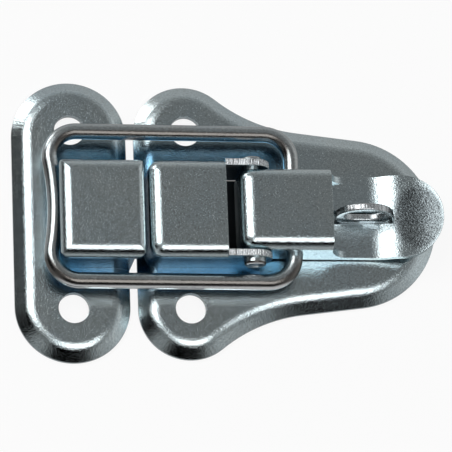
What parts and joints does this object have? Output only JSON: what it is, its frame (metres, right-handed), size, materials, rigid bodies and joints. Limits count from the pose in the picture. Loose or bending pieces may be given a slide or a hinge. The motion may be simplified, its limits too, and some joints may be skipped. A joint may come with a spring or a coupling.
{
  "type": "over centre toggle latch",
  "caption": "Pressed steel toggle latch: a lever pulls a wire bail over the hook of a keeper plate and folds flat over a padlock staple.",
  "frame": {"origin": "centre of the whole latch on its mounting plane, latch closed", "axes": "+X from the keeper to the thumb tab, +Y across the latch, +Z away from the mounting surface"},
  "size_m": [0.0754, 0.051, 0.0114],
  "materials": {
    "zinc_plated_sheet": "bright zinc plate, satin",
    "zinc_plated_wire": "bright zinc plate, satin"
  },
  "bodies": {
    "plates": {"keeper_plate": "zinc_plated_sheet", "base_plate": "zinc_plated_sheet", "padlock_staple": "zinc_plated_sheet", "pivot_rivet": "zinc_plated_sheet"},
    "lever": {"lever": "zinc_plated_sheet"},
    "bail": {"wire_bail": "zinc_plated_wire"}
  },
  "joints": [
    {"name": "lever_hinge", "type": "hinge", "parent": "plates", "child": "lever", "pos_m": [0.0036, 0, 0.008], "axis": [0, -1, 0], "range_deg": [0, 115]},
    {"name": "bail_hinge", "type": "hinge", "parent": "lever", "child": "bail", "pos_m": [0.011, 0, 0.006], "axis": [0, -1, 0], "range_deg": [-97.19, 0]}
  ],
  "couplings": [
    {"joint": "bail_hinge", "follows": "lever_hinge", "ratio": -0.845}
  ]
}
